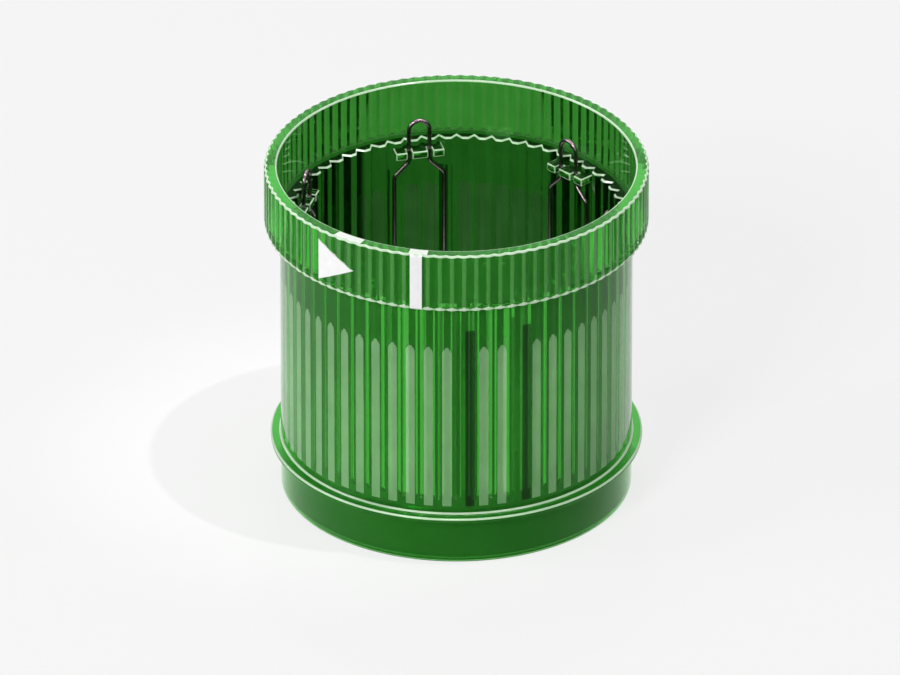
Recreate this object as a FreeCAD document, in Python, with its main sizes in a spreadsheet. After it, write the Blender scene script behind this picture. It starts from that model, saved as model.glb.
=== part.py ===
import FreeCAD
import Part
import math
import os
import re
import Sketcher

# Light element of a modular stack light, in millimetres.
# +Z is the column's axis, z = 0 is the lower edge of the plug-in skirt,
# and -Y is the side of the white lock bar.
# Angles about the axis are counted from -Y towards +X.

SIZES = {
    # Lens, outside
    "lens_height": 64.8,
    "collar_radius": 35.0,
    "collar_height": 11.3,
    "collar_chamfer": 0.35,
    "collar_wall": 2.4,
    "skirt_clearance": 0.5,
    "skirt_end_clearance": 1.3,
    "flange_overhang": 1.9,
    "flange_thickness": 0.95,
    "flange_rounding": 0.35,
    "flange_step": 0.35,
    "skirt_rounding": 0.5,
    # Lens, inside
    "socket_depth": 10.4,
    "socket_rounding": 0.3,
    "body_wall": 2.3,
    "skirt_wall": 1.6,
    "snap_ridge_height": 0.35,
    "snap_ridge_depth": 0.35,
    "snap_ridge_clearance": 0.02,
    # Grip ribs outside the collar and prisms inside the body
    "grip_rib_count": 100,
    "grip_rib_depth": 0.3,
    "grip_crest_flat": 0.25,
    "prism_count": 60,
    "prism_depth": 1.25,
    "prism_crest_flat": 0.16,
    "prism_foot_rise": 2.4,
    "groove_overcut": 0.4,
    "cut_overshoot": 1.0,
    # White marks let into the collar
    "mark_depth": 0.4,
    "arrow_angle": -26.75,
    "arrow_length": 7.9,
    "arrow_height": 8.15,
    "arrow_drop": 1.9,
    "arrow_tip_drop": 4.0,
    # Contact wires and the tabs that guide them
    "contact_count": 6,
    "first_contact_angle": 26.0,
    "wire_diameter": 0.8,
    "wire_plane_inset": 1.4,
    "contact_press": 0.6,
    "arch_half_width": 1.94,
    "shoulder_drop": 2.4,
    "leg_half_width": 4.7,
    "tab_drop": 1.2,
    "tab_thickness": 1.45,
    "tab_width": 9.1,
    "tab_tip_reach": 1.1,
    "tab_root_depth": 0.4,
    "tab_notch_clearance": 0.06,
    # Contact carrier in the skirt
    "carrier_clearance": 0.15,
    "carrier_floor_level": 10.2,
    "carrier_neck_height": 2.0,
    "carrier_ring_thickness": 2.8,
    "carrier_rim_wall": 0.85,
    "carrier_rim_level": 0.6,
    "board_recess_inset": 5.9,
    "board_recess_wall": 1.5,
    "board_floor_thickness": 1.5,
    "guide_hole_clearance": 0.1,
    "contact_boss_width": 11.6,
    "contact_boss_reach": 2.4,
    # Contact plates under the carrier
    "plate_thickness": 0.5,
    "plate_level": 3.2,
    "plate_width": 10.4,
    "plate_end_margin": 0.05,
    "plate_lug_height": 3.2,
    "plate_lug_width": 4.0,
    # Board with its light sources
    "board_clearance": 0.3,
    "board_thickness": 1.6,
    "board_drop": 1.6,
    "outer_led_inset": 9.7,
    "inner_led_radius": 4.6,
    "led_length": 3.5,
    "led_width": 2.8,
    "led_height": 1.9,
    "led_cup_radius": 1.2,
    "led_cup_depth": 0.8,
    "chip_inset": 3.9,
    "resistor_length": 3.2,
    "resistor_width": 1.6,
    "resistor_height": 0.6,
    "rectifier_length": 4.7,
    "rectifier_width": 3.9,
    "rectifier_height": 2.5,
    # Screws that hold the board
    "screw_inset": 3.9,
    "screw_angle": 56.0,
    "screw_shank_radius": 1.0,
    "screw_length": 5.0,
    "screw_head_radius": 1.9,
    "screw_head_height": 1.3,
    "screw_slot_width": 0.5,
    "screw_slot_depth": 0.7,
    "screw_hole_clearance": 0.2,
    "screw_pilot_clearance": 0.04,
    "screw_boss_radius": 2.4,
    "screw_boss_floor": 0.5,
    "screw_tip_clearance": 0.1,
    # Leads from two contact plates to the board
    "lead_radius": 0.5,
    "lead_drop": 0.9,
    "lead_bend_radius": 1.5,
    "lead_inset": 2.0,
    "lead_hole_clearance": 0.2,
}

LED_OUTER_COUNT = 6
LED_INNER_COUNT = 3
RESISTOR_ANGLES = (86.0, 116.0, 146.0)
RECTIFIER_ANGLE = -4.0
LEAD_CONTACTS = (1, 2)

doc = FreeCAD.newDocument("light_element")
sheet = doc.addObject("Spreadsheet::Sheet", "Sizes")
for row, (alias, number) in enumerate(SIZES.items(), start=1):
    sheet.set(f"A{row}", alias)
    sheet.set(f"B{row}", str(number))
    sheet.setAlias(f"B{row}", alias)
doc.recompute()

sub_parts = []


def formula(text):
    """The expression text with each size name led by its sheet."""
    def name(match):
        word = match.group(0)
        return f"Sizes.{word}" if word in SIZES else word
    return re.sub(r"[a-z][a-z_]+", name, text)


def value(text):
    """The present number of an expression."""
    result = sheet.evalExpression(formula(text))
    return float(getattr(result, "Value", result))


def bind(obj, prop, text):
    obj.setExpression(prop, formula(text))


def sub_part(obj, label):
    obj.Label = label
    sub_parts.append(obj)
    return obj


def new_body(name):
    return doc.addObject("PartDesign::Body", name)


def origin_part(body, role):
    for feature in body.Origin.OriginFeatures:
        if feature.Role == role:
            return feature
    raise ValueError(role)


def new_sketch(body, name, role, level=None, turn=None):
    """An empty sketch on an origin plane, raised to a level and turned about the plane's normal."""
    sketch = body.newObject("Sketcher::SketchObject", name)
    sketch.AttachmentSupport = [(origin_part(body, role), "")]
    sketch.MapMode = "FlatFace"
    if turn is not None:
        sketch.AttachmentOffset = FreeCAD.Placement(
            FreeCAD.Vector(0, 0, 0), FreeCAD.Rotation(FreeCAD.Vector(0, 0, 1), value(turn)))
        bind(sketch, "AttachmentOffset.Rotation.Angle", turn)
    if level is not None:
        bind(sketch, "AttachmentOffset.Base.z", level)
    return sketch


def pin_point(sketch, edge, end, name, x_text, y_text):
    """Ties one end or centre of a sketch edge to two expressions."""
    for axis, text in (("X", x_text), ("Y", y_text)):
        number = value(text)
        if text == "0":
            # A point on an axis lies on it for good.
            line = -2 if axis == "X" else -1
            sketch.addConstraint(Sketcher.Constraint("PointOnObject", edge, end, line))
            continue
        index = sketch.addConstraint(
            Sketcher.Constraint(f"Distance{axis}", -1, 1, edge, end, number))
        sketch.renameConstraint(index, f"{name}_{axis.lower()}")
        bind(sketch, f"Constraints.{name}_{axis.lower()}", text)


def add_polygon(sketch, corners, name="corner"):
    """A closed outline, each corner tied to its two expressions."""
    points = [FreeCAD.Vector(value(x), value(y), 0) for x, y in corners]
    count = len(points)
    edges = []
    for index, point in enumerate(points):
        edges.append(sketch.addGeometry(Part.LineSegment(point, points[(index + 1) % count])))
    for index, edge in enumerate(edges):
        following = edges[(index + 1) % count]
        sketch.addConstraint(Sketcher.Constraint("Coincident", edge, 2, following, 1))
    for index, (x_text, y_text) in enumerate(corners):
        pin_point(sketch, edges[index], 1, f"{name}{index}", x_text, y_text)


def add_circle(sketch, x_text, y_text, radius_text, name="circle"):
    centre = FreeCAD.Vector(value(x_text), value(y_text), 0)
    edge = sketch.addGeometry(Part.Circle(centre, FreeCAD.Vector(0, 0, 1), value(radius_text)))
    pin_point(sketch, edge, 3, name, x_text, y_text)
    index = sketch.addConstraint(Sketcher.Constraint("Radius", edge, value(radius_text)))
    sketch.renameConstraint(index, f"{name}_radius")
    bind(sketch, f"Constraints.{name}_radius", radius_text)


def rectangle(x_low, x_high, y_low, y_high):
    return [(x_low, y_low), (x_high, y_low), (x_high, y_high), (x_low, y_high)]


def revolve(body, name, corners):
    """A full turn of a section in the plane of X and Z about the body's Z axis."""
    sketch = new_sketch(body, f"{name}_section", "XZ_Plane")
    add_polygon(sketch, corners)
    feature = body.newObject("PartDesign::Revolution", name)
    feature.Profile = sketch
    feature.ReferenceAxis = (origin_part(body, "Z_Axis"), [""])
    feature.Angle = 360
    sketch.Visibility = False
    doc.recompute()
    return feature


def pad(body, name, sketch, length):
    feature = body.newObject("PartDesign::Pad", name)
    feature.Profile = sketch
    bind(feature, "Length", length)
    return feature


def pocket(body, name, sketch, length):
    """A cut from the sketch downwards."""
    feature = body.newObject("PartDesign::Pocket", name)
    feature.Profile = sketch
    bind(feature, "Length", length)
    return feature


def polar_pattern(body, name, originals, count):
    feature = body.newObject("PartDesign::PolarPattern", name)
    feature.Originals = originals
    feature.Axis = (origin_part(body, "Z_Axis"), [""])
    feature.Angle = 360
    bind(feature, "Occurrences", count)
    body.Tip = feature
    doc.recompute()
    return feature


def ring_edges(feature, rings):
    """Names of the round edges of a feature at the given radius and level."""
    names = []
    for index, edge in enumerate(feature.Shape.Edges, start=1):
        if not isinstance(edge.Curve, Part.Circle):
            continue
        for radius_text, level_text in rings:
            same_radius = abs(edge.Curve.Radius - value(radius_text)) < 1e-4
            same_level = abs(edge.Curve.Center.z - value(level_text)) < 1e-4
            if same_radius and same_level:
                names.append(f"Edge{index}")
    return names


def soften(body, kind, name, base, rings, size_prop, size_text):
    """A fillet or chamfer round the given rings of a turned shape."""
    feature = body.newObject(f"PartDesign::{kind}", name)
    feature.Base = (base, ring_edges(base, rings))
    bind(feature, size_prop, size_text)
    doc.recompute()
    return feature


def place_at_angle(obj, angle_text):
    """Turns a sub-part drawn on the -Y side to its angle about the column's axis."""
    obj.Placement = FreeCAD.Placement(
        FreeCAD.Vector(0, 0, 0), FreeCAD.Rotation(FreeCAD.Vector(0, 0, 1), value(angle_text)))
    bind(obj, "Placement.Rotation.Angle", angle_text)


def contact_angle(number):
    return f"first_contact_angle + {number - 1} * 360 / contact_count"


# Levels and radii that several pieces share
COLLAR_FOOT = "(lens_height - collar_height)"
LEDGE = "(lens_height - socket_depth)"
SOCKET_RADIUS = "(collar_radius - collar_wall)"
BODY_RADIUS = "(collar_radius - collar_wall - skirt_clearance)"
CHAMBER_RADIUS = f"({BODY_RADIUS} - body_wall)"
SKIRT_BORE_RADIUS = f"({BODY_RADIUS} - skirt_wall)"
FLANGE_RADIUS = f"({BODY_RADIUS} + flange_overhang)"
FLANGE_LEVEL = "(socket_depth - skirt_end_clearance)"
FLANGE_TOP = f"({FLANGE_LEVEL} + flange_thickness)"
PRISM_FOOT = "(carrier_floor_level + prism_foot_rise)"
WIRE_PLANE = f"({CHAMBER_RADIUS} - wire_plane_inset)"
TAB_TOP = f"({LEDGE} - tab_drop)"
TAB_TIP = f"({WIRE_PLANE} - tab_tip_reach)"
SHOULDER_LEVEL = f"({TAB_TOP} - shoulder_drop)"
CARRIER_SEAT = "(carrier_floor_level - carrier_neck_height)"
CARRIER_RADIUS = f"({SKIRT_BORE_RADIUS} - carrier_clearance)"
CARRIER_RIM_BORE = f"({CARRIER_RADIUS} - carrier_rim_wall)"
CARRIER_NECK_RADIUS = f"({CHAMBER_RADIUS} - carrier_clearance)"
CARRIER_RING_FOOT = "(carrier_floor_level - carrier_ring_thickness)"
BOARD_RECESS_RADIUS = f"({WIRE_PLANE} - board_recess_inset)"
BOARD_RADIUS = f"({BOARD_RECESS_RADIUS} - board_clearance)"
BOARD_TOP = "(carrier_floor_level - board_drop)"
BOARD_SEAT = f"({BOARD_TOP} - board_thickness)"
BOARD_FLOOR_FOOT = f"({BOARD_SEAT} - board_floor_thickness)"
OUTER_LED_RADIUS = f"({BOARD_RADIUS} - outer_led_inset)"
CHIP_CIRCLE_RADIUS = f"({BOARD_RADIUS} - chip_inset)"
SCREW_CIRCLE_RADIUS = f"({BOARD_RADIUS} - screw_inset)"
PLATE_TOP = "(plate_level + plate_thickness)"
PLATE_OUTER_EDGE = f"({WIRE_PLANE} + wire_diameter / 2 + plate_end_margin)"
BOSS_INNER_FACE = f"({WIRE_PLANE} - contact_boss_reach)"
LEAD_LEVEL = f"({BOARD_FLOOR_FOOT} - lead_drop)"
LEAD_END_RADIUS = f"({BOARD_RADIUS} - lead_inset)"
# The arch presses on the plate of the next element, whose skirt stands in the socket.
ARCH_LEVEL = f"(lens_height - {FLANGE_LEVEL} + plate_level + contact_press - wire_diameter / 2)"


# Lens: one moulding with its collar, flange, skirt, prisms and guide tabs

def make_lens(marks):
    body = new_body("lens_body")
    ridge_radius = f"{SKIRT_BORE_RADIUS} - snap_ridge_depth"
    turned = revolve(body, "shell", [
        (SKIRT_BORE_RADIUS, "0"),
        (BODY_RADIUS, "0"),
        (BODY_RADIUS, FLANGE_LEVEL),
        (FLANGE_RADIUS, FLANGE_LEVEL),
        (FLANGE_RADIUS, FLANGE_TOP),
        (f"{BODY_RADIUS} + flange_step", FLANGE_TOP),
        (f"{BODY_RADIUS} + flange_step", f"{FLANGE_TOP} + flange_step"),
        (BODY_RADIUS, f"{FLANGE_TOP} + flange_step"),
        (BODY_RADIUS, COLLAR_FOOT),
        ("collar_radius", COLLAR_FOOT),
        ("collar_radius", "lens_height"),
        (SOCKET_RADIUS, "lens_height"),
        (SOCKET_RADIUS, LEDGE),
        (CHAMBER_RADIUS, LEDGE),
        (CHAMBER_RADIUS, CARRIER_SEAT),
        (SKIRT_BORE_RADIUS, CARRIER_SEAT),
        (SKIRT_BORE_RADIUS, "carrier_rim_level - snap_ridge_clearance"),
        (ridge_radius, "carrier_rim_level - snap_ridge_clearance - snap_ridge_depth / 2"),
        (ridge_radius, "carrier_rim_level - snap_ridge_height"),
    ])
    rounded = soften(body, "Fillet", "flange_edges", turned,
                     [(FLANGE_RADIUS, FLANGE_LEVEL), (FLANGE_RADIUS, FLANGE_TOP)],
                     "Radius", "flange_rounding")
    rounded = soften(body, "Fillet", "skirt_edge", rounded, [(BODY_RADIUS, "0")],
                     "Radius", "skirt_rounding")
    rounded = soften(body, "Fillet", "socket_edge", rounded, [(SOCKET_RADIUS, "lens_height")],
                     "Radius", "socket_rounding")
    soften(body, "Chamfer", "collar_edges", rounded,
           [("collar_radius", COLLAR_FOOT), ("collar_radius", "lens_height")],
           "Size", "collar_chamfer")
    recess = body.newObject("PartDesign::Boolean", "mark_recesses")
    recess.setObjects(marks)
    recess.Type = "Cut"
    doc.recompute()
    cut_prisms(body)
    add_tabs(body)
    cut_grip(body)
    sub_part(body, "lens")


def groove_outline(root_radius, mouth_radius, end_radius, half_width):
    """A V with straight cheeks past its mouth, so that neighbours never overlap."""
    return [
        ("0", f"-{root_radius}"),
        (half_width, f"-{mouth_radius}"),
        (half_width, f"-{end_radius}"),
        (f"-{half_width}", f"-{end_radius}"),
        (f"-{half_width}", f"-{mouth_radius}"),
    ]


def cut_grip(body):
    """V grooves between the grip ribs, half a pitch away from the lock bar's middle."""
    half_pitch = "(180 / grip_rib_count)"
    mouth = f"(collar_radius * tan({half_pitch}) - grip_crest_flat / 2)"
    sketch = new_sketch(body, "grip_groove", "XY_Plane", "lens_height", half_pitch)
    add_polygon(sketch, groove_outline(
        "(collar_radius - grip_rib_depth)", "collar_radius", "(collar_radius + groove_overcut)", mouth))
    groove = pocket(body, "grip_cut", sketch, "collar_height + groove_overcut")
    doc.recompute()
    polar_pattern(body, "grip_ribs", [groove], "grip_rib_count")


def cut_prisms(body):
    """V grooves down the inside of the body, which leave the prisms between them."""
    half_pitch = "(180 / prism_count)"
    mouth = f"({CHAMBER_RADIUS} * tan({half_pitch}) - prism_crest_flat / 2)"
    sketch = new_sketch(body, "prism_groove", "XY_Plane", LEDGE)
    add_polygon(sketch, groove_outline(
        f"({CHAMBER_RADIUS} + prism_depth)", CHAMBER_RADIUS, f"({CHAMBER_RADIUS} - groove_overcut)", mouth))
    groove = pocket(body, "prism_cut", sketch, f"{LEDGE} - {PRISM_FOOT}")
    doc.recompute()
    polar_pattern(body, "prisms", [groove], "prism_count")


def add_tabs(body):
    """Tabs under the ledge, each with two notches open to the chamber for a wire's legs."""
    root = f"({CHAMBER_RADIUS} + prism_depth + tab_root_depth)"
    notch = "(wire_diameter / 2 + tab_notch_clearance)"
    plate = new_sketch(body, "tab_outline", "XY_Plane", TAB_TOP, "first_contact_angle")
    add_polygon(plate, rectangle("-tab_width / 2", "tab_width / 2", f"-{root}", f"-{TAB_TIP}"))
    tab = pad(body, "tab", plate, "tab_thickness")
    tab.Reversed = True
    doc.recompute()
    notches = new_sketch(body, "tab_notch_outline", "XY_Plane", TAB_TOP, "first_contact_angle")
    for side, name in ((-1, "left"), (1, "right")):
        add_polygon(notches, rectangle(
            f"{side} * arch_half_width - {notch}", f"{side} * arch_half_width + {notch}",
            f"-({WIRE_PLANE} + {notch})", f"-({TAB_TIP} - cut_overshoot)"), name)
    cut = pocket(body, "tab_notches", notches, "tab_thickness + cut_overshoot")
    doc.recompute()
    polar_pattern(body, "tabs", [tab, cut], "contact_count")


# White marks: an arrow and a bar that line up when the next element is locked on

def make_lock_bar():
    body = new_body("lock_bar_body")
    half_angle = "(180 / grip_rib_count)"
    floor = "(collar_radius - mark_depth)"
    sketch = new_sketch(body, "bar_section", "YZ_Plane")
    add_polygon(sketch, [
        (f"-{floor}", COLLAR_FOOT),
        ("-(collar_radius - collar_chamfer)", COLLAR_FOOT),
        ("-collar_radius", f"{COLLAR_FOOT} + collar_chamfer"),
        ("-collar_radius", "lens_height - collar_chamfer"),
        ("-(collar_radius - collar_chamfer)", "lens_height"),
        (f"-{floor}", "lens_height"),
    ])
    bar = body.newObject("PartDesign::Revolution", "bar")
    bar.Profile = sketch
    bar.ReferenceAxis = (origin_part(body, "Z_Axis"), [""])
    bar.Midplane = True
    bind(bar, "Angle", f"2 * {half_angle}")
    doc.recompute()
    return sub_part(body, "lock_bar_mark")


def make_arrow():
    """A triangle that points to the bar, bent round the collar."""
    body = new_body("arrow_body")
    top = "(lens_height - arrow_drop)"
    plane = new_sketch(body, "arrow_outline", "XZ_Plane", "collar_radius - mark_depth - arrow_length / 4")
    add_polygon(plane, [
        ("-arrow_length / 2", f"{top} - arrow_height"),
        ("arrow_length / 2", f"{top} - arrow_tip_drop"),
        ("-arrow_length / 2", top),
    ])
    pad(body, "arrow_block", plane, "mark_depth + arrow_length / 4 + cut_overshoot")
    doc.recompute()
    outside = new_sketch(body, "arrow_outside", "XY_Plane", "lens_height")
    add_circle(outside, "0", "0", "collar_radius")
    add_circle(outside, "0", "0", "collar_radius + arrow_length", "around")
    pocket(body, "arrow_face", outside, "lens_height")
    doc.recompute()
    inside = new_sketch(body, "arrow_inside", "XY_Plane", "lens_height")
    add_circle(inside, "0", "0", "collar_radius - mark_depth")
    pocket(body, "arrow_back", inside, "lens_height")
    doc.recompute()
    place_at_angle(body, "arrow_angle")
    return sub_part(body, "arrow_mark")


# Contact wires: hairpins whose arches touch the next element's plates

def make_contact_wire(number):
    body = new_body(f"contact_wire_body_{number}")
    spine = new_sketch(body, "wire_spine", "XZ_Plane", WIRE_PLANE)
    foot = PLATE_TOP
    spread = "(leg_half_width - arch_half_width)"
    arch_foot = f"{ARCH_LEVEL} - arch_half_width"
    left = [("-leg_half_width", foot), ("-leg_half_width", f"{SHOULDER_LEVEL} - {spread}"),
            ("-arch_half_width", SHOULDER_LEVEL), ("-arch_half_width", arch_foot)]
    right = [(x[1:], y) for x, y in reversed(left)]
    edges = []
    for corners, name in ((left, "left"), (right, "right")):
        points = [FreeCAD.Vector(value(x), value(y), 0) for x, y in corners]
        run = [sketch_line(spine, points[i], points[i + 1]) for i in range(3)]
        for index in range(3):
            pin_point(spine, run[index], 1, f"{name}{index}", *corners[index])
        pin_point(spine, run[2], 2, f"{name}3", *corners[3])
        for index in range(2):
            spine.addConstraint(
                Sketcher.Constraint("Coincident", run[index], 2, run[index + 1], 1))
        edges.append(run)
    centre = FreeCAD.Vector(0, value(arch_foot), 0)
    circle = Part.Circle(centre, FreeCAD.Vector(0, 0, 1), value("arch_half_width"))
    arch = spine.addGeometry(Part.ArcOfCircle(circle, 0, math.pi))
    spine.addConstraint(Sketcher.Constraint("Tangent", edges[0][2], 2, arch, 2))
    spine.addConstraint(Sketcher.Constraint("Coincident", edges[1][0], 1, arch, 1))
    doc.recompute()
    section = new_sketch(body, "wire_section", "XY_Plane", foot)
    add_circle(section, "-leg_half_width", f"-{WIRE_PLANE}", "wire_diameter / 2")
    pipe = body.newObject("PartDesign::AdditivePipe", "wire")
    pipe.Profile = section
    pipe.Spine = spine
    pipe.Transition = "Round corner"
    doc.recompute()
    place_at_angle(body, contact_angle(number))
    sub_part(body, f"contact_wire_{number}")


def sketch_line(sketch, start, end):
    return sketch.addGeometry(Part.LineSegment(start, end))


# Contact carrier: the moulded insert in the skirt

def make_contact_carrier():
    body = new_body("contact_carrier_body")
    revolve(body, "dish", [
        ("0", BOARD_FLOOR_FOOT),
        (f"{BOARD_RECESS_RADIUS} + board_recess_wall", BOARD_FLOOR_FOOT),
        (f"{BOARD_RECESS_RADIUS} + board_recess_wall", CARRIER_RING_FOOT),
        (CARRIER_RIM_BORE, CARRIER_RING_FOOT),
        (CARRIER_RIM_BORE, "carrier_rim_level"),
        (CARRIER_RADIUS, "carrier_rim_level"),
        (CARRIER_RADIUS, CARRIER_SEAT),
        (CARRIER_NECK_RADIUS, CARRIER_SEAT),
        (CARRIER_NECK_RADIUS, "carrier_floor_level"),
        (BOARD_RECESS_RADIUS, "carrier_floor_level"),
        (BOARD_RECESS_RADIUS, BOARD_SEAT),
        ("0", BOARD_SEAT),
    ])
    outline = new_sketch(body, "boss_outline", "XY_Plane", CARRIER_RING_FOOT, "first_contact_angle")
    add_polygon(outline, rectangle(
        "-contact_boss_width / 2", "contact_boss_width / 2",
        f"-{CARRIER_RIM_BORE}", f"-{BOSS_INNER_FACE}"))
    boss = pad(body, "contact_boss", outline, f"{CARRIER_RING_FOOT} - {PLATE_TOP}")
    boss.Reversed = True
    doc.recompute()
    guides = new_sketch(body, "guide_holes", "XY_Plane", "carrier_floor_level", "first_contact_angle")
    for side, name in ((-1, "left"), (1, "right")):
        add_circle(guides, f"{side} * leg_half_width", f"-{WIRE_PLANE}",
                   "wire_diameter / 2 + guide_hole_clearance", name)
    holes = pocket(body, "guide_hole_cut", guides, "carrier_floor_level")
    doc.recompute()
    polar_pattern(body, "contact_places", [boss, holes], "contact_count")
    add_screw_bosses(body)
    cut_lead_holes(body)
    sub_part(body, "contact_carrier")


def add_screw_bosses(body):
    """Blind bosses under the floor for the two screws of the board."""
    hole_depth = "(screw_length - board_thickness + screw_tip_clearance)"
    boss_depth = f"({hole_depth} - board_floor_thickness + screw_boss_floor)"
    outline = new_sketch(body, "screw_boss_outline", "XY_Plane", BOARD_FLOOR_FOOT, "screw_angle")
    add_circle(outline, "0", f"-{SCREW_CIRCLE_RADIUS}", "screw_boss_radius")
    boss = pad(body, "screw_boss", outline, boss_depth)
    boss.Reversed = True
    doc.recompute()
    pilot = new_sketch(body, "pilot_outline", "XY_Plane", BOARD_SEAT, "screw_angle")
    add_circle(pilot, "0", f"-{SCREW_CIRCLE_RADIUS}", "screw_shank_radius + screw_pilot_clearance")
    hole = pocket(body, "pilot_hole", pilot, hole_depth)
    doc.recompute()
    polar_pattern(body, "screw_places", [boss, hole], "2")


def cut_lead_holes(body):
    for number in LEAD_CONTACTS:
        sketch = new_sketch(body, f"lead_hole_outline_{number}", "XY_Plane", BOARD_SEAT,
                            contact_angle(number))
        add_circle(sketch, "0", f"-{LEAD_END_RADIUS}", "lead_radius + lead_hole_clearance")
        pocket(body, f"lead_hole_{number}", sketch, "board_floor_thickness + cut_overshoot")
        doc.recompute()


# Contact plates: bent strips that the arches of the element below press on

def make_contact_plate(number):
    body = new_body(f"contact_plate_body_{number}")
    section = new_sketch(body, "strip_outline", "XY_Plane", "plate_level")
    lug_inner = f"({BOSS_INNER_FACE} - plate_thickness)"
    add_polygon(section, rectangle("-plate_width / 2", "plate_width / 2",
                                   f"-{PLATE_OUTER_EDGE}", f"-{lug_inner}"))
    pad(body, "strip", section, "plate_thickness")
    doc.recompute()
    lug = new_sketch(body, "lug_outline", "XY_Plane", "plate_level")
    add_polygon(lug, rectangle("-plate_lug_width / 2", "plate_lug_width / 2",
                               f"-{BOSS_INNER_FACE}", f"-{lug_inner}"))
    pad(body, "lug", lug, "plate_lug_height")
    doc.recompute()
    place_at_angle(body, contact_angle(number))
    sub_part(body, f"contact_plate_{number}")


# Board and what is soldered to it

def make_board():
    body = new_body("led_board_body")
    outline = new_sketch(body, "board_outline", "XY_Plane", BOARD_SEAT)
    add_circle(outline, "0", "0", BOARD_RADIUS)
    pad(body, "board", outline, "board_thickness")
    doc.recompute()
    hole = new_sketch(body, "screw_hole_outline", "XY_Plane", BOARD_TOP, "screw_angle")
    add_circle(hole, "0", f"-{SCREW_CIRCLE_RADIUS}", "screw_shank_radius + screw_hole_clearance")
    cut = pocket(body, "screw_hole", hole, "board_thickness + cut_overshoot")
    doc.recompute()
    polar_pattern(body, "screw_holes", [cut], "2")
    sub_part(body, "led_board")


def make_block(name, length, width, height, radius, angle):
    """A body on the board, drawn at a radius on the -Y side and turned to its angle."""
    body = new_body(f"{name}_body")
    outline = new_sketch(body, "outline", "XY_Plane", BOARD_TOP)
    add_polygon(outline, rectangle(f"-{length} / 2", f"{length} / 2",
                                   f"-({radius} + {width} / 2)", f"-({radius} - {width} / 2)"))
    pad(body, "block", outline, height)
    doc.recompute()
    place_at_angle(body, angle)
    sub_part(body, name)
    return body


def make_led(number, radius, angle):
    """A moulded housing with the round cup that holds the light source."""
    body = make_block(f"led_{number}", "led_length", "led_width", "led_height", radius, angle)
    cup = new_sketch(body, "cup_outline", "XY_Plane", f"{BOARD_TOP} + led_height")
    add_circle(cup, "0", f"-{radius}", "led_cup_radius")
    pocket(body, "cup", cup, "led_cup_depth")
    doc.recompute()


def make_board_parts():
    make_board()
    for index in range(LED_OUTER_COUNT):
        make_led(index + 1, OUTER_LED_RADIUS, f"{index} * 360 / {LED_OUTER_COUNT}")
    for index in range(LED_INNER_COUNT):
        make_led(LED_OUTER_COUNT + index + 1, "inner_led_radius",
                 f"{index} * 360 / {LED_INNER_COUNT}")
    for index, angle in enumerate(RESISTOR_ANGLES, start=1):
        make_block(f"resistor_{index}", "resistor_length", "resistor_width", "resistor_height",
                   CHIP_CIRCLE_RADIUS, str(angle))
    make_block("rectifier", "rectifier_length", "rectifier_width", "rectifier_height",
               CHIP_CIRCLE_RADIUS, str(RECTIFIER_ANGLE))


# Two self-tapping screws, one solid each

def make_screw(number):
    body = new_body(f"board_screw_body_{number}")
    section = new_sketch(body, "screw_section", "XZ_Plane", SCREW_CIRCLE_RADIUS)
    tip = f"({BOARD_TOP} - screw_length)"
    add_polygon(section, [
        ("0", tip),
        ("screw_shank_radius * 0.4", tip),
        ("screw_shank_radius", f"{tip} + screw_shank_radius"),
        ("screw_shank_radius", BOARD_TOP),
        ("screw_head_radius", BOARD_TOP),
        ("screw_head_radius", f"{BOARD_TOP} + screw_head_height * 0.5"),
        ("screw_head_radius * 0.6", f"{BOARD_TOP} + screw_head_height"),
        ("0", f"{BOARD_TOP} + screw_head_height"),
    ])
    turned = body.newObject("PartDesign::Revolution", "screw")
    turned.Profile = section
    turned.ReferenceAxis = (section, ["V_Axis"])
    turned.Angle = 360
    doc.recompute()
    slot = new_sketch(body, "slot_outline", "XY_Plane", f"{BOARD_TOP} + screw_head_height")
    reach = "screw_head_radius * 0.6"
    half = "screw_slot_width / 2"
    add_polygon(slot, rectangle(f"-{reach}", reach, f"-({SCREW_CIRCLE_RADIUS} + {half})",
                                f"-({SCREW_CIRCLE_RADIUS} - {half})"), "across")
    pocket(body, "slot", slot, "screw_slot_depth")
    doc.recompute()
    upright = new_sketch(body, "upright_outline", "XY_Plane", f"{BOARD_TOP} + screw_head_height")
    add_polygon(upright, rectangle(f"-{half}", half, f"-({SCREW_CIRCLE_RADIUS} + {reach})",
                                   f"-({SCREW_CIRCLE_RADIUS} - {reach})"), "along")
    pocket(body, "cross_slot", upright, "screw_slot_depth")
    doc.recompute()
    place_at_angle(body, f"screw_angle + {number - 1} * 180")
    return body


def make_screws():
    group = doc.addObject("Part::Compound", "board_screw_group")
    group.Links = [make_screw(1), make_screw(2)]
    sub_part(group, "board_screws")


# Leads: from a plate's lug inwards under the floor and up to the board

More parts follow.
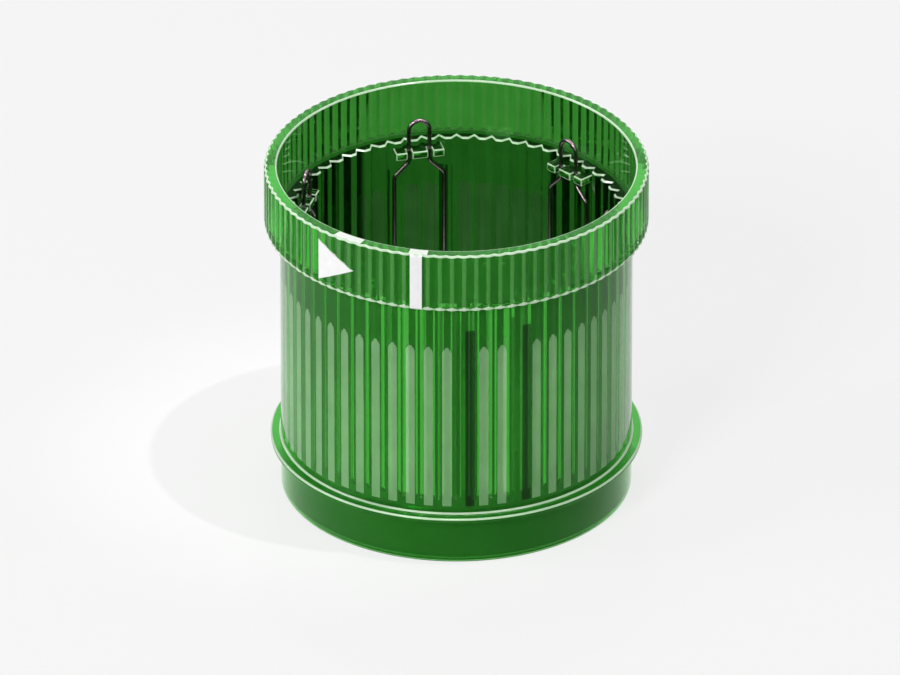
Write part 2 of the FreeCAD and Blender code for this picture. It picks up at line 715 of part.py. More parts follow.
def make_lead(number):
    lug_face = f"({BOSS_INNER_FACE} - plate_thickness)"
    body = new_body(f"board_lead_body_{number}")
    spine = new_sketch(body, "lead_spine", "YZ_Plane")
    bend_y = f"-({LEAD_END_RADIUS} + lead_bend_radius)"
    bend_z = f"{LEAD_LEVEL} + lead_bend_radius"
    inward = sketch_line(spine, FreeCAD.Vector(value(f"-{lug_face}"), value(LEAD_LEVEL), 0),
                         FreeCAD.Vector(value(bend_y), value(LEAD_LEVEL), 0))
    pin_point(spine, inward, 1, "start", f"-{lug_face}", LEAD_LEVEL)
    pin_point(spine, inward, 2, "bend_start", bend_y, LEAD_LEVEL)
    centre = FreeCAD.Vector(value(bend_y), value(bend_z), 0)
    circle = Part.Circle(centre, FreeCAD.Vector(0, 0, 1), value("lead_bend_radius"))
    bend = spine.addGeometry(Part.ArcOfCircle(circle, -math.pi / 2, 0))
    upward = sketch_line(spine, FreeCAD.Vector(value(f"-{LEAD_END_RADIUS}"), value(bend_z), 0),
                         FreeCAD.Vector(value(f"-{LEAD_END_RADIUS}"), value(BOARD_SEAT), 0))
    pin_point(spine, upward, 1, "bend_end", f"-{LEAD_END_RADIUS}", bend_z)
    pin_point(spine, upward, 2, "end", f"-{LEAD_END_RADIUS}", BOARD_SEAT)
    spine.addConstraint(Sketcher.Constraint("Tangent", inward, 2, bend, 1))
    spine.addConstraint(Sketcher.Constraint("Coincident", upward, 1, bend, 2))
    doc.recompute()
    section = new_sketch(body, "lead_section", "XZ_Plane", lug_face)
    add_circle(section, "0", LEAD_LEVEL, "lead_radius")
    pipe = body.newObject("PartDesign::AdditivePipe", "lead")
    pipe.Profile = section
    pipe.Spine = spine
    doc.recompute()
    place_at_angle(body, contact_angle(number))
    sub_part(body, f"board_lead_{number}")


def check_and_export():
    doc.recompute()
    for obj in doc.Objects:
        if "Invalid" in obj.State or "Error" in obj.State:
            raise RuntimeError(f"{obj.Name} failed: {obj.State}")
    for obj in sub_parts:
        if obj.Shape.isNull() or not obj.Shape.isValid():
            raise RuntimeError(f"{obj.Label} has no valid shape")
    os.makedirs("parts", exist_ok=True)
    for obj in sub_parts:
        obj.Shape.exportStep(f"parts/{obj.Label}.step")
        box = obj.Shape.BoundBox
        print(f"{obj.Label}: {len(obj.Shape.Solids)} solid, {obj.Shape.Volume:.1f} mm3,",
              f"z {box.ZMin:.2f} to {box.ZMax:.2f}")


for contact in range(1, SIZES["contact_count"] + 1):
    make_contact_wire(contact)
    make_contact_plate(contact)
make_board_parts()
make_screws()
for contact in LEAD_CONTACTS:
    make_lead(contact)
make_contact_carrier()
make_lens([make_lock_bar(), make_arrow()])
check_and_export()
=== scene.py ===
import math

import bmesh
import bpy
from mathutils import Matrix, Vector


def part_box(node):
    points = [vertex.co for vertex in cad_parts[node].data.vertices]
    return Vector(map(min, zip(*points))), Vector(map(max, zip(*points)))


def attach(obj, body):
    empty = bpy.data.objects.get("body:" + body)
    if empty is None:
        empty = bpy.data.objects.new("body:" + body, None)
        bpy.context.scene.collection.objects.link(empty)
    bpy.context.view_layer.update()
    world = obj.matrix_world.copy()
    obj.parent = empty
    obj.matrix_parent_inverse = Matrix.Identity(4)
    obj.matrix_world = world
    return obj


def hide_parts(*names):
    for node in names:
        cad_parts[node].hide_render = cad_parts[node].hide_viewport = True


# Light element of a modular stack light. Lengths are in metres, angles in degrees.
# Angles about the axis are counted from -Y, the side of the lock bar, towards +X.

MM = 0.001

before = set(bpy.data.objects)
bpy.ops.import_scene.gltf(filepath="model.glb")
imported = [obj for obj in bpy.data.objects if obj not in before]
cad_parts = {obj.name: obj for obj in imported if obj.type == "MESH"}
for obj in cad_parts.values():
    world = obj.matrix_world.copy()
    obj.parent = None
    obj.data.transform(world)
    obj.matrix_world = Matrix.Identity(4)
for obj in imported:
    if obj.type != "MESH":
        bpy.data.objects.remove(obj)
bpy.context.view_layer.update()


# Sizes of the lens

lens_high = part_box("lens")[1]
LENS_HEIGHT = lens_high[2]
POINTS_AROUND = 1200
ARC_STEPS = 6
ROUNDING = 0.3 * MM

COLLAR_RADIUS = lens_high[0]
COLLAR_FOOT = LENS_HEIGHT - 11.3 * MM
COLLAR_ROUNDING = 0.35 * MM
MARK_PROUD = 0.03 * MM
GRIP_RIBS = 100
GRIP_DEPTH = 0.3 * MM
GRIP_FLAT = 0.22

BODY_RADIUS = 32.1 * MM
FLANGE_RADIUS = 34.0 * MM
FLANGE_FOOT = 9.1 * MM
FLANGE_TOP = 10.05 * MM
FLANGE_STEP = 0.35 * MM
SKIRT_ROUNDING = 0.5 * MM

SOCKET_RADIUS = 32.6 * MM
LEDGE = LENS_HEIGHT - 10.4 * MM
LEDGE_CHAMFER = 0.3 * MM
CHAMBER_RADIUS = 29.8 * MM
PRISMS = 60
PRISM_DEPTH = 1.25 * MM
PRISM_FLAT = 0.36
PRISM_FOOT = 12.6 * MM
PRISM_RUN_OUT = 0.02 * MM

CARRIER_SEAT = 8.2 * MM
SKIRT_BORE_RADIUS = 30.5 * MM
SNAP_RIDGE_RADIUS = 30.15 * MM
SNAP_RIDGE_TOP = 0.58 * MM
SNAP_CREST_TOP = 0.4 * MM
SNAP_CREST_FOOT = 0.25 * MM


# Places of the lens's finishes, which paint light and shade

# The body's pale stripes are painted light: the lit floor of the chamber as seen through the prisms
STRIPE_FOOT = 11.7 * MM
STRIPE_TOP = 44.5 * MM
STRIPE_SHARE = 0.46
STRIPE_CORNER = 0.45 * MM
# Corner heights below the stripe's top, and the share of its width that is left from there up
STRIPE_TIP = ((2, 0.8), (1, 0.5))

# Degrees on each side of a wire's leg that have no stripe, and that carry painted shade for the leg
# behind the wall
LEG_CLEARANCE = 3.0
LEG_SHADE = 1.5
LEG_TOP = 48.0 * MM

# Shares of each rib's pitch with painted glints: the pale rib crests, and the pale zigzag at the
# collar's foot
GRIP_CREST_SHARE = 0.38
TOOTH_SHARE = 0.9
TOOTH_LEVELS = 4
TOOTH_STEP = 0.13 * MM

# Angles between which each white mark's reflection in the rim is painted nearly white
MARK_REFLECTION_ANGLES = ((-27.5, -18.1), (-2.3, 3.4))


# Sizes of the contact wires and of the guide tabs that hold them

CONTACTS = 6
FIRST_CONTACT = 26.0
WIRE_PLANE = 28.4 * MM
WIRE_RADIUS = 0.4 * MM
WIRE_BEND = 1.3 * MM
WIRE_SIDES = 16
BEND_STEPS = 8
ARCH_STEPS = 20
ARCH_HALF = 1.94 * MM
ARCH_TOP = 59.1 * MM
LEG_HALF = 4.7 * MM
SHOULDER = 50.8 * MM

TAB_TOP = 53.2 * MM
TAB_THICKNESS = 1.45 * MM
TAB_WIDTH = 9.1 * MM
TAB_TIP = 27.3 * MM
TAB_ROOT = 31.45 * MM
TAB_NOTCH = 0.46 * MM
TAB_BEVEL = 0.2 * MM
TAB_BEVEL_STEPS = 3


# Nodes that the materials share

RAMP_LOW = 0.35
RAMP_HIGH = 0.65
SOFT_DETAIL = 2.0
FINE_DETAIL = 4.0


def new_material(name):
    material = bpy.data.materials.new(name)
    material.use_nodes = True
    tree = material.node_tree
    return material, tree, tree.nodes["Principled BSDF"]


def noise(tree, scale, detail):
    """Noise over the object's own coordinates, in features per metre."""
    place = tree.nodes.new("ShaderNodeTexCoord")
    texture = tree.nodes.new("ShaderNodeTexNoise")
    texture.inputs["Scale"].default_value = scale
    texture.inputs["Detail"].default_value = detail
    tree.links.new(place.outputs["Object"], texture.inputs["Vector"])
    return texture.outputs["Fac"]


def ramp(tree, factor, low_colour, high_colour):
    node = tree.nodes.new("ShaderNodeValToRGB")
    first, last = node.color_ramp.elements
    first.position, last.position = RAMP_LOW, RAMP_HIGH
    first.color = (*low_colour, 1)
    last.color = (*high_colour, 1)
    tree.links.new(factor, node.inputs["Fac"])
    return node.outputs["Color"]


def spread(tree, factor, low, high):
    node = tree.nodes.new("ShaderNodeMapRange")
    node.inputs["To Min"].default_value = low
    node.inputs["To Max"].default_value = high
    tree.links.new(factor, node.inputs["Value"])
    return node.outputs["Result"]


def bump(tree, shader, factor, distance):
    node = tree.nodes.new("ShaderNodeBump")
    node.inputs["Distance"].default_value = distance
    tree.links.new(factor, node.inputs["Height"])
    tree.links.new(node.outputs["Normal"], shader.inputs["Normal"])


# Finishes of the lens: the clear green, and copies of it that paint light and shade

POLYCARBONATE_IOR = 1.5
CLOUDS = 180.0
GREEN_GLOSS = (0.2, 0.7, 0.2, 1)
DEEP_GLOSS = (0.06, 0.5, 0.05, 1)
WHITE_GLOSS = (1, 1, 1, 1)

# Slots on the lens's mesh, in the order of lens_materials; all but OUTSIDE paint light or shade
OUTSIDE, EDGE, PAINTED_SHADE, DEEPER_SHADE, LIGHT_STRIPE, GRIP_GLINT, SOCKET, MARK_REFLECTION = range(8)


def polycarbonate(name, low, high, transmission, roughness, gloss=GREEN_GLOSS, specular=0.5):
    material, tree, shader = new_material(name)
    shader.inputs["Specular IOR Level"].default_value = specular
    shader.inputs["Transmission Weight"].default_value = transmission
    shader.inputs["Roughness"].default_value = roughness
    shader.inputs["IOR"].default_value = POLYCARBONATE_IOR
    shader.inputs["Specular Tint"].default_value = gloss
    colour = ramp(tree, noise(tree, CLOUDS, SOFT_DETAIL), low, high)
    tree.links.new(colour, shader.inputs["Base Color"])
    return material


def lens_materials():
    """The clear outer face, and copies of it that paint light and shade: glints on the edges, shade
    inside, light stripes, glints on the rib crests, shade in the socket and a reflection of the
    marks.
    """
    return [
        polycarbonate("tinted_outer_face", (0.078, 0.57, 0.060), (0.088, 0.60, 0.070),
                      transmission=0.81, roughness=0.02, gloss=DEEP_GLOSS, specular=0.1),
        # Pale, nearly white copy on the rounded edges and bevels: painted glints
        polycarbonate("painted_glint_edge", (0.66, 0.87, 0.62), (0.74, 0.92, 0.70),
                      transmission=0.25, roughness=0.15, gloss=WHITE_GLOSS),
        # Very dark copy on the inside and in front of the wires' legs: painted shade
        polycarbonate("painted_shade_face", (0.0032, 0.034, 0.0022), (0.0042, 0.041, 0.0031),
                      transmission=0.92, roughness=0.12),
        # Darker still on the prisms' crests inside: painted shade
        polycarbonate("deeper_painted_shade", (0.0022, 0.023, 0.0015), (0.0030, 0.029, 0.0021),
                      transmission=0.95, roughness=0.12),
        # Pale copy in stripes on the body: painted light of the lit chamber floor seen through the
        # prisms
        polycarbonate("painted_light_stripe", (0.39, 0.77, 0.35), (0.45, 0.83, 0.405),
                      transmission=0.58, roughness=0.02, gloss=DEEP_GLOSS, specular=0.1),
        # Paler copy on the grip ribs' crests: painted glints
        polycarbonate("painted_grip_glint", (0.19, 0.74, 0.15), (0.23, 0.78, 0.19),
                      transmission=0.68, roughness=0.02, gloss=DEEP_GLOSS, specular=0.1),
        # Darker copy on the collar's inside and the guide tabs: painted shade
        polycarbonate("painted_shade_socket_face", (0.022, 0.145, 0.016), (0.028, 0.165, 0.020),
                      transmission=0.9, roughness=0.02),
        # Nearly white copy on the rim above the marks: painted reflection of the marks
        polycarbonate("painted_mark_reflection", (0.80, 0.86, 0.79), (0.86, 0.90, 0.85),
                      transmission=0.1, roughness=0.3, gloss=WHITE_GLOSS),
    ]


# Finishes of the other pieces

PLAIN_GRAIN = 900.0
WIRE_GRAIN = 1500.0
BUMP_FINENESS = 3
ROUGHNESS_SPREAD = 0.2
CARRIER_BUMP = 0.02 * MM


def plain_material(name, low, high, roughness, scale=PLAIN_GRAIN, metallic=0.0, grain=0.0):
    material, tree, shader = new_material(name)
    texture = noise(tree, scale, FINE_DETAIL)
    tree.links.new(ramp(tree, texture, low, high), shader.inputs["Base Color"])
    varied = spread(tree, texture, roughness * (1 - ROUGHNESS_SPREAD),
                    roughness * (1 + ROUGHNESS_SPREAD))
    tree.links.new(varied, shader.inputs["Roughness"])
    shader.inputs["Metallic"].default_value = metallic
    if grain:
        bump(tree, shader, noise(tree, scale * BUMP_FINENESS, SOFT_DETAIL), grain)
    return material


# Mesh helpers

LENS_SHARP_ANGLE = 12.0
WIRE_SHARP_ANGLE = 40.0


def link_mesh(name, vertices, faces, materials):
    mesh = bpy.data.meshes.new(name)
    mesh.from_pydata(vertices, [], faces)
    mesh.update()
    for material in materials:
        mesh.materials.append(material)
    piece = bpy.data.objects.new(name, mesh)
    bpy.context.scene.collection.objects.link(piece)
    return piece


def fix_normals(piece):
    mesh = bmesh.new()
    mesh.from_mesh(piece.data)
    bmesh.ops.recalc_face_normals(mesh, faces=mesh.faces)
    mesh.to_mesh(piece.data)
    mesh.free()


def shade(piece, sharp_angle):
    piece.data.shade_smooth()
    piece.data.set_sharp_from_angle(angle=math.radians(sharp_angle))


def turned(point, angle):
    """A point drawn on the -Y side, turned about the column's axis."""
    return Matrix.Rotation(math.radians(angle), 4, "Z") @ Vector(point)


def quarter_arc(centre, radius, start):
    """Points of a quarter round in the section, turning anticlockwise from start."""
    points = []
    for step in range(ARC_STEPS + 1):
        turn = math.radians(start + 90 * step / ARC_STEPS)
        points.append((centre[0] + radius * math.cos(turn), centre[1] + radius * math.sin(turn)))
    return points


# Forms round the lens: what is added to the radius at an angle

def wave(angle, count, flat, phase=0.0):
    """0 on a crest and 1 in a groove's root, with flat as the crest's share of the pitch."""
    part = (angle * count / 360 + phase) % 1
    from_crest = 1 - abs(part - 0.5) * 2
    return max(0.0, (from_crest - flat) / (1 - flat))


def prism_wave(angle, flat):
    """The prisms' crests stand half a pitch away from the lock bar's middle."""
    return wave(angle, PRISMS, flat, 0.5)


def plain(angle):
    return 0.0


def ribbed(angle):
    """The grip ribs, whose crests lie below the marks' faces."""
    return -(MARK_PROUD + GRIP_DEPTH * wave(angle, GRIP_RIBS, GRIP_FLAT))


def grooved(angle):
    """The V grooves between the prisms, cut outwards into the wall."""
    return PRISM_DEPTH * prism_wave(angle, PRISM_FLAT)


# Finishes round the lens, which paint light and shade: the slot at an angle

# Painted shade inside, darker on the prisms' crests
def inner_face(angle):
    return DEEPER_SHADE if grooved(angle) == 0 else PAINTED_SHADE


def from_leg(angle):
    """Degrees to the nearer leg of the first contact wire, or of the one opposite."""
    leg_turn = math.degrees(math.atan(LEG_HALF / WIRE_PLANE))
    from_contact = (angle - FIRST_CONTACT + 90) % 180 - 90
    return abs(abs(from_contact) - leg_turn)


def leg_shade_face(angle):
    """Painted shade: dark where a wire's leg stands behind the wall."""
    return PAINTED_SHADE if from_leg(angle) < LEG_SHADE else OUTSIDE


def light_stripe_face(share):
    """Painted light: pale in front of each prism's crest, over a share of the prisms' pitch, for the
    lit chamber floor seen through the prisms.
    """
    def face(angle):
        pitch = 360 / PRISMS
        prism_centre = (math.floor(angle / pitch) + 0.5) * pitch
        clear_of_leg = from_leg(prism_centre) > LEG_CLEARANCE
        if clear_of_leg and prism_wave(angle, share) == 0:
            return LIGHT_STRIPE
        return leg_shade_face(angle)
    return face


# Painted glints: pale crests on the grip ribs
def collar_face(angle):
    return GRIP_GLINT if wave(angle, GRIP_RIBS, GRIP_CREST_SHARE) == 0 else OUTSIDE


def glint_tooth_face(share):
    """A painted glint: the pale edge at the collar's foot, which reaches up over a share of each
    rib's pitch.
    """
    def face(angle):
        return EDGE if wave(angle, GRIP_RIBS, 0.0) < share else collar_face(angle)
    return face


def mark_reflection_face(angle):
    """Painted reflection: nearly white where the two white marks are reflected in the rim."""
    for low, high in MARK_REFLECTION_ANGLES:
        if low < (angle + 180) % 360 - 180 < high:
            return MARK_REFLECTION
    return OUTSIDE


# Lens

def lens_section():
    """Rows of radius, level, form and finish, up the outside and down the inside.

    The finish of a row covers the faces between it and the next row.
    """
    section = []

    def add(points, form=plain, face=OUTSIDE, edge=False):
        """Adds a row for each point. With edge, all of them but the last are pale edges, which are
        painted glints.
        """
        for index, (radius, level) in enumerate(points):
            finish = EDGE if edge and index < len(points) - 1 else face
            section.append((radius, level, form, finish))

    # Skirt and flange
    add([(SKIRT_BORE_RADIUS, 0.0)])
    add(quarter_arc((BODY_RADIUS - SKIRT_ROUNDING, SKIRT_ROUNDING), SKIRT_ROUNDING, -90))
    add([(BODY_RADIUS, FLANGE_FOOT)])
    add(quarter_arc((FLANGE_RADIUS - ROUNDING, FLANGE_FOOT + ROUNDING), ROUNDING, -90))
    add(quarter_arc((FLANGE_RADIUS - ROUNDING, FLANGE_TOP - ROUNDING), ROUNDING, 0), edge=True)
    add([(BODY_RADIUS + FLANGE_STEP, FLANGE_TOP)])
    add(quarter_arc((BODY_RADIUS, FLANGE_TOP), FLANGE_STEP, 0)[1:], edge=True)

    # Body with its stripes of painted light
    add([(BODY_RADIUS, STRIPE_FOOT)], face=light_stripe_face(STRIPE_SHARE))
    for corners, share in STRIPE_TIP:
        level = STRIPE_TOP - corners * STRIPE_CORNER
        add([(BODY_RADIUS, level)], face=light_stripe_face(share * STRIPE_SHARE))
    add([(BODY_RADIUS, STRIPE_TOP)], face=leg_shade_face)
    add([(BODY_RADIUS, LEG_TOP)])
    add([(BODY_RADIUS, COLLAR_FOOT)])

    # Collar and rim
    collar_low = (COLLAR_RADIUS - COLLAR_ROUNDING, COLLAR_FOOT + COLLAR_ROUNDING)
    collar_high = (COLLAR_RADIUS - COLLAR_ROUNDING, LENS_HEIGHT - COLLAR_ROUNDING)
    add(quarter_arc(collar_low, COLLAR_ROUNDING, -90), ribbed, glint_tooth_face(TOOTH_SHARE), edge=True)
    for step in range(1, TOOTH_LEVELS):
        level = COLLAR_FOOT + COLLAR_ROUNDING + step * TOOTH_STEP
        add([(COLLAR_RADIUS, level)], ribbed, glint_tooth_face(TOOTH_SHARE - step / TOOTH_LEVELS))
    level = COLLAR_FOOT + COLLAR_ROUNDING + TOOTH_LEVELS * TOOTH_STEP
    add([(COLLAR_RADIUS, level)], ribbed, collar_face)
    add(quarter_arc(collar_high, COLLAR_ROUNDING, 0), ribbed, mark_reflection_face, edge=True)
    add(quarter_arc((SOCKET_RADIUS + ROUNDING, LENS_HEIGHT - ROUNDING), ROUNDING, 90),
        face=SOCKET, edge=True)

    # Ledge, prisms and the inside of the skirt, in painted shade
    add([(SOCKET_RADIUS, LEDGE)], face=PAINTED_SHADE)
    add([(CHAMBER_RADIUS + LEDGE_CHAMFER, LEDGE), (CHAMBER_RADIUS, LEDGE - LEDGE_CHAMFER)],
        grooved, inner_face, edge=True)
    add([(CHAMBER_RADIUS, PRISM_FOOT)], grooved, PAINTED_SHADE)
    add([(CHAMBER_RADIUS, PRISM_FOOT - PRISM_RUN_OUT), (CHAMBER_RADIUS, CARRIER_SEAT),
         (SKIRT_BORE_RADIUS, CARRIER_SEAT), (SKIRT_BORE_RADIUS, SNAP_RIDGE_TOP),
         (SNAP_RIDGE_RADIUS, SNAP_CREST_TOP), (SNAP_RIDGE_RADIUS, SNAP_CREST_FOOT)], face=PAINTED_SHADE)
    return section


def turned_solid(name, section, materials):
    """A closed solid of revolution whose radius and finish may vary round the axis."""
    vertices = []
    for radius, level, form, _ in section:
        for step in range(POINTS_AROUND):
            angle = 360 * step / POINTS_AROUND
            reach = radius + form(angle)
            turn = math.radians(angle)
            vertices.append((reach * math.sin(turn), -reach * math.cos(turn), level))
    faces = []
    rows = len(section)
    for row in range(rows):
        below, above = row * POINTS_AROUND, (row + 1) % rows * POINTS_AROUND
        for step in range(POINTS_AROUND):
            following = (step + 1) % POINTS_AROUND
            faces.append((below + step, below + following, above + following, above + step))
    piece = link_mesh(name, vertices, faces, materials)
    for index, face in enumerate(piece.data.polygons):
        finish = section[index // POINTS_AROUND][3]
        if callable(finish):
            finish = finish(360 * (index % POINTS_AROUND + 0.5) / POINTS_AROUND)
        face.material_index = finish
    fix_normals(piece)
    return piece


def tab_block(angle, materials):
    """A guide tab: a flat block with a notch for each side of the wire."""
    half = TAB_WIDTH / 2
    notch_end = -(WIRE_PLANE + TAB_NOTCH)
    outline = [(-half, -TAB_ROOT), (half, -TAB_ROOT), (half, -TAB_TIP)]
    for middle in (ARCH_HALF, -ARCH_HALF):
        right, left = middle + TAB_NOTCH, middle - TAB_NOTCH
        outline += [(right, -TAB_TIP), (right, notch_end), (left, notch_end), (left, -TAB_TIP)]
    outline.append((-half, -TAB_TIP))
    count = len(outline)
    vertices = [turned((x, y, TAB_TOP - TAB_THICKNESS), angle) for x, y in outline]
    vertices += [turned((x, y, TAB_TOP), angle) for x, y in outline]
    faces = [tuple(range(count))[::-1], tuple(range(count, 2 * count))]
    for index in range(count):
        following = (index + 1) % count
        faces.append((index, following, following + count, index + count))
    tab = link_mesh("tab", vertices, faces, materials)
    # The tab's faces take the socket face's painted shade, its bevels painted glints
    for face in tab.data.polygons:
        face.material_index = SOCKET
    fix_normals(tab)
    edges = tab.modifiers.new("edges", "BEVEL")
    edges.width = TAB_BEVEL
    edges.segments = TAB_BEVEL_STEPS
    edges.material = EDGE
    edges.limit_method = "ANGLE"
    return tab


def join_solid(piece, tool):
    modifier = piece.modifiers.new("union", "BOOLEAN")
    modifier.operation = "UNION"
    modifier.solver = "MANIFOLD"
    modifier.object = tool
    evaluated = piece.evaluated_get(bpy.context.evaluated_depsgraph_get())
    mesh = bpy.data.meshes.new_from_object(evaluated)
    piece.modifiers.clear()
    piece.data = mesh
    bpy.data.objects.remove(tool)


def contact_angle(number):
    """Angle of a contact about the axis, counted from 1."""
    return FIRST_CONTACT + (number - 1) * 360 / CONTACTS


def make_lens():
    materials = lens_materials()
    lens = turned_solid("lens_moulding", lens_section(), materials)
    for number in range(1, CONTACTS + 1):
        join_solid(lens, tab_block(contact_angle(number), materials))
    shade(lens, LENS_SHARP_ANGLE)
    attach(lens, "root")
    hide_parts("lens")


# Contact wires

def rounded_path(corners, radius):
    """A flat path with an arc of the given radius at each inner corner."""
    path = [Vector(corners[0])]
    for before, corner, after in zip(corners, corners[1:], corners[2:]):
        corner = Vector(corner)
        inward = (Vector(before) - corner).normalized()
        outward = (Vector(after) - corner).normalized()
        half_turn = (math.pi - inward.angle(outward)) / 2
        setback = radius * math.tan(half_turn)
        centre = corner + (inward + outward).normalized() * radius / math.cos(half_turn)
        start = corner + inward * setback - centre
        end = corner + outward * setback - centre
        for step in range(BEND_STEPS + 1):
            turn = step / BEND_STEPS * 2 * half_turn
            blend = math.sin(2 * half_turn - turn) * start + math.sin(turn) * end
            path.append(centre + blend / math.sin(2 * half_turn))
    path.append(Vector(corners[-1]))
    return path


def hairpin(foot):
    """The wire's middle line: one side, the arch and the other side, in the wire's own plane."""
    shoulder_foot = SHOULDER - (LEG_HALF - ARCH_HALF)
    arch_foot = ARCH_TOP - ARCH_HALF
    side = rounded_path([(-LEG_HALF, 0, foot), (-LEG_HALF, 0, shoulder_foot),
                         (-ARCH_HALF, 0, SHOULDER), (-ARCH_HALF, 0, arch_foot)], WIRE_BEND)
    arch = []
    for step in range(1, ARCH_STEPS):
        turn = math.pi * (1 - step / ARCH_STEPS)
        arch.append(Vector((ARCH_HALF * math.cos(turn), 0, arch_foot + ARCH_HALF * math.sin(turn))))
    other = [Vector((-point.x, 0, point.z)) for point in reversed(side)]
    return side + arch + other


def bent_rod(name, path, radius, angle, material):
    """A round rod along a path that lies in the plane y = -WIRE_PLANE before it is turned."""
    vertices, faces = [], []
    count = len(path)
    for index, point in enumerate(path):
        before = path[max(index - 1, 0)]
        after = path[min(index + 1, count - 1)]
        along = (after - before).normalized()
        across = Vector((along.z, 0, -along.x))
        for side in range(WIRE_SIDES):
            turn = 2 * math.pi * side / WIRE_SIDES
            place = point + across * radius * math.cos(turn) + Vector((0, radius * math.sin(turn), 0))
            vertices.append(turned(place + Vector((0, -WIRE_PLANE, 0)), angle))
    for index in range(count - 1):
        low, high = index * WIRE_SIDES, (index + 1) * WIRE_SIDES
        for side in range(WIRE_SIDES):
            following = (side + 1) % WIRE_SIDES
            faces.append((low + side, low + following, high + following, high + side))
    faces.append(tuple(range(WIRE_SIDES)))
    faces.append(tuple(range((count - 1) * WIRE_SIDES, count * WIRE_SIDES)))
    piece = link_mesh(name, vertices, faces, [material])
    fix_normals(piece)
    shade(piece, WIRE_SHARP_ANGLE)
    return piece


def wire_material():
    """Drawn spring wire, darkened and tinted mauve to paint in its dark, pinkish reflections."""
    return plain_material("spring_wire", (0.20, 0.14, 0.17), (0.31, 0.23, 0.27),
                          roughness=0.2, scale=WIRE_GRAIN, metallic=1.0)


def make_wires():
    material = wire_material()
    for number in range(1, CONTACTS + 1):
        node = f"contact_wire_{number}"
        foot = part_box(node)[0][2]
        wire = bent_rod(f"hairpin_{number}", hairpin(foot), WIRE_RADIUS, contact_angle(number),
                        material)
        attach(wire, "root")
        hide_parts(node)


# Pieces that keep their CAD shape

LEDS = 9
RESISTORS = 3
BOARD_LEADS = 2


def dress(nodes, material):
    for node in nodes:
        mesh = bpy.data.objects[node].data
        mesh.materials.clear()
        mesh.materials.append(material)


def numbered(name, count):
    return [f"{name}_{number}" for number in range(1, count + 1)]


def dress_cad_pieces():
    mark = plain_material("white_mark", (0.90, 0.90, 0.90), (0.93, 0.93, 0.93), roughness=0.45)
    dress(["arrow_mark", "lock_bar_mark"], mark)
    carrier = plain_material("carrier_plastic", (0.60, 0.61, 0.58), (0.66, 0.67, 0.64),
                             roughness=0.5, grain=CARRIER_BUMP)
    dress(["contact_carrier"], carrier)
    plate = plain_material("bronze_strip", (0.62, 0.46, 0.25), (0.74, 0.57, 0.33),
                           roughness=0.3, metallic=1.0)
    dress(numbered("contact_plate", CONTACTS), plate)
    board = plain_material("solder_mask", (0.80, 0.81, 0.78), (0.84, 0.85, 0.82), roughness=0.4)
    dress(["led_board"], board)
    led = plain_material("led_housing", (0.84, 0.83, 0.78), (0.88, 0.87, 0.82), roughness=0.45)
    dress(numbered("led", LEDS), led)
    chip = plain_material("chip_moulding", (0.03, 0.03, 0.03), (0.05, 0.05, 0.05), roughness=0.5)
    dress(["rectifier"] + numbered("resistor", RESISTORS), chip)
    screw = plain_material("zinc_screw", (0.58, 0.58, 0.60), (0.70, 0.70, 0.72),
                           roughness=0.3, metallic=1.0)
    dress(["board_screws"], screw)
    lead = plain_material("lead_sleeve", (0.30, 0.03, 0.03), (0.38, 0.05, 0.04), roughness=0.4)
    dress(numbered("board_lead", BOARD_LEADS), lead)


# Floor and surroundings

WORLD_LEVEL = 0.12
BACKDROP_LEVEL = 1.0
FLOOR_GLOW = 0.75
FLOOR_SIZE = 24
FLOOR_COLOUR = (0.85, 0.85, 0.85, 1)
FLOOR_ROUGHNESS = 0.9


def backdrop_rays(tree):
    """1 for the rays that show the backdrop: from the camera, off gloss and through glass."""
    path = tree.nodes.new("ShaderNodeLightPath")
    total = path.outputs["Is Camera Ray"]
    for kind in ("Is Glossy Ray", "Is Transmission Ray"):
        larger = tree.nodes.new("ShaderNodeMath")
        larger.operation = "MAXIMUM"
        tree.links.new(total, larger.inputs[0])
        tree.links.new(path.outputs[kind], larger.inputs[1])
        total = larger.outputs[0]
    return total


def make_floor():
    """A pale floor that keeps the shadow and shows partly as the white backdrop."""
    bpy.ops.mesh.primitive_plane_add(size=FLOOR_SIZE, location=(0, 0, 0))
    floor = bpy.context.object
    floor.name = "floor"
    material, tree, shader = new_material("pale_floor")
    shader.inputs["Base Color"].default_value = FLOOR_COLOUR
    shader.inputs["Roughness"].default_value = FLOOR_ROUGHNESS
    shader.inputs["Specular IOR Level"].default_value = 0.0
    share = tree.nodes.new("ShaderNodeMath")
    share.operation = "MULTIPLY"
    share.inputs[1].default_value = FLOOR_GLOW
    tree.links.new(backdrop_rays(tree), share.inputs[0])
    glow = tree.nodes.new("ShaderNodeEmission")
    mixed = tree.nodes.new("ShaderNodeMixShader")
    tree.links.new(share.outputs[0], mixed.inputs["Fac"])
    tree.links.new(shader.outputs["BSDF"], mixed.inputs[1])
    tree.links.new(glow.outputs["Emission"], mixed.inputs[2])
    tree.links.new(mixed.outputs["Shader"], tree.nodes["Material Output"].inputs["Surface"])
    floor.data.materials.append(material)


def make_world():
    """Faint light on the object, and a white backdrop."""
    world = bpy.data.worlds.new("studio")
    bpy.context.scene.world = world
    world.use_nodes = True
    tree = world.node_tree
    background = tree.nodes["Background"]
    background.inputs["Color"].default_value = (1, 1, 1, 1)
    strength = spread(tree, backdrop_rays(tree), WORLD_LEVEL, BACKDROP_LEVEL)
    tree.links.new(strength, background.inputs["Strength"])


# Lamps, with powers in watts

LAMP_DISTANCE = 1.6
SPOT_AZIMUTH = 80.0
SPOT_ELEVATION = 71.0
SPOT_POWER = 87.0
SPOT_ANGLE = 2.75
SPOT_BLEND = 0.3
SPOT_RADIUS = 0.03


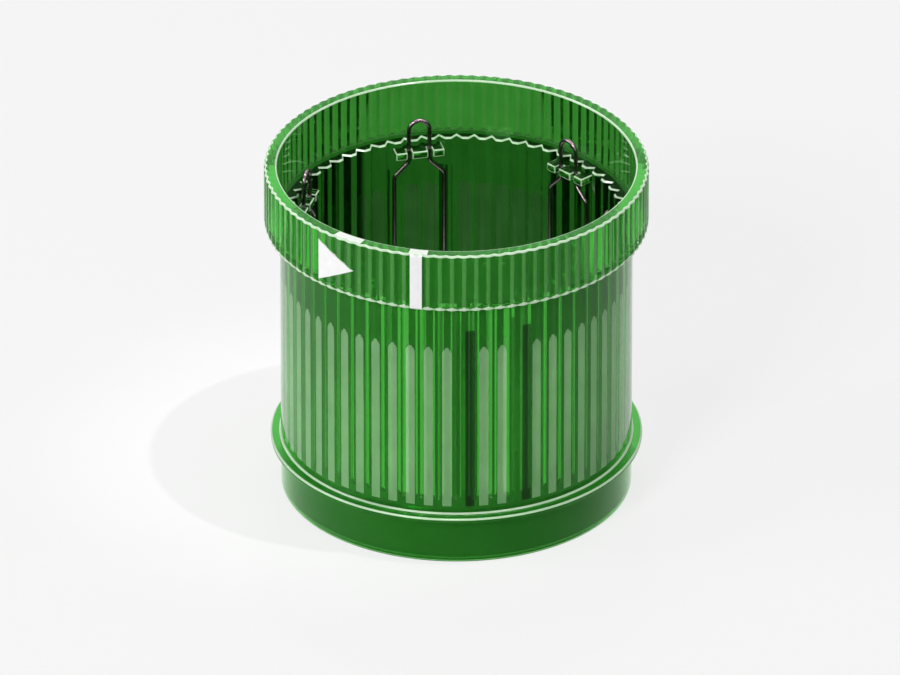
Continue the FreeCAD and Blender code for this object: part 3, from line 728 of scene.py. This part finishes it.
def direction(azimuth, elevation):
    """The way from the object to a camera or lamp."""
    turn, rise = math.radians(azimuth), math.radians(elevation)
    return Vector((math.sin(turn) * math.cos(rise), -math.cos(turn) * math.cos(rise),
                   math.sin(rise)))


def place_looking(data, name, aim, back, distance):
    """Links a camera or lamp at a distance from the point that it looks at."""
    item = bpy.data.objects.new(name, data)
    item.location = aim + back * distance
    item.rotation_mode = "QUATERNION"
    item.rotation_quaternion = (-back).to_track_quat("-Z", "Y")
    bpy.context.scene.collection.objects.link(item)
    return item


def area_light(name, azimuth, elevation, size, power):
    lamp = bpy.data.lights.new(name, "AREA")
    lamp.size = size
    lamp.energy = power
    place_looking(lamp, name, Vector((0, 0, LENS_HEIGHT / 2)), direction(azimuth, elevation),
                  LAMP_DISTANCE)


def chamber_spot():
    """A narrow beam down through the open collar, which lights the floor of the chamber."""
    lamp = bpy.data.lights.new("chamber_spot", "SPOT")
    lamp.energy = SPOT_POWER
    lamp.spot_size = math.radians(SPOT_ANGLE)
    lamp.spot_blend = SPOT_BLEND
    lamp.shadow_soft_size = SPOT_RADIUS
    place_looking(lamp, "chamber_spot", Vector((0, 0, LENS_HEIGHT)),
                  direction(SPOT_AZIMUTH, SPOT_ELEVATION), LAMP_DISTANCE)


def make_lights():
    area_light("key_front", azimuth=-16.0, elevation=34.0, size=0.4, power=11.0)
    area_light("key_right", azimuth=55.0, elevation=14.0, size=0.26, power=1.2)
    area_light("soft_left", azimuth=-68.0, elevation=20.0, size=0.8, power=9.0)
    area_light("soft_top", azimuth=192.0, elevation=72.0, size=1.6, power=8.0)
    area_light("rim_right", azimuth=95.0, elevation=45.0, size=0.1, power=1.2)
    area_light("rim_back", azimuth=192.0, elevation=60.0, size=0.1, power=1.2)
    chamber_spot()


# Camera, as fitted to the photograph

CAMERA_AZIMUTH = 12.1
CAMERA_ELEVATION = 28.83
CAMERA_DISTANCE = 3.26
CAMERA_AIM = 32.75 * MM
CAMERA_LENS_MM = 715.0
SENSOR_MM = 36.0
CLIP_START = 0.1
CLIP_END = 40.0
PHOTO_WIDTH_PX = 900
OBJECT_RIGHT_PX = 6.4
OBJECT_UP_PX = 18.1


def make_camera():
    data = bpy.data.cameras.new("camera")
    data.lens = CAMERA_LENS_MM
    data.sensor_width = SENSOR_MM
    data.shift_x = -OBJECT_RIGHT_PX / PHOTO_WIDTH_PX
    data.shift_y = -OBJECT_UP_PX / PHOTO_WIDTH_PX
    data.clip_start = CLIP_START
    data.clip_end = CLIP_END
    bpy.context.scene.camera = place_looking(
        data, "camera", Vector((0, 0, CAMERA_AIM)), direction(CAMERA_AZIMUTH, CAMERA_ELEVATION),
        CAMERA_DISTANCE)


bpy.context.scene.view_settings.view_transform = "Standard"
make_camera()
make_lights()
make_world()
make_floor()
make_lens()
make_wires()
dress_cad_pieces()
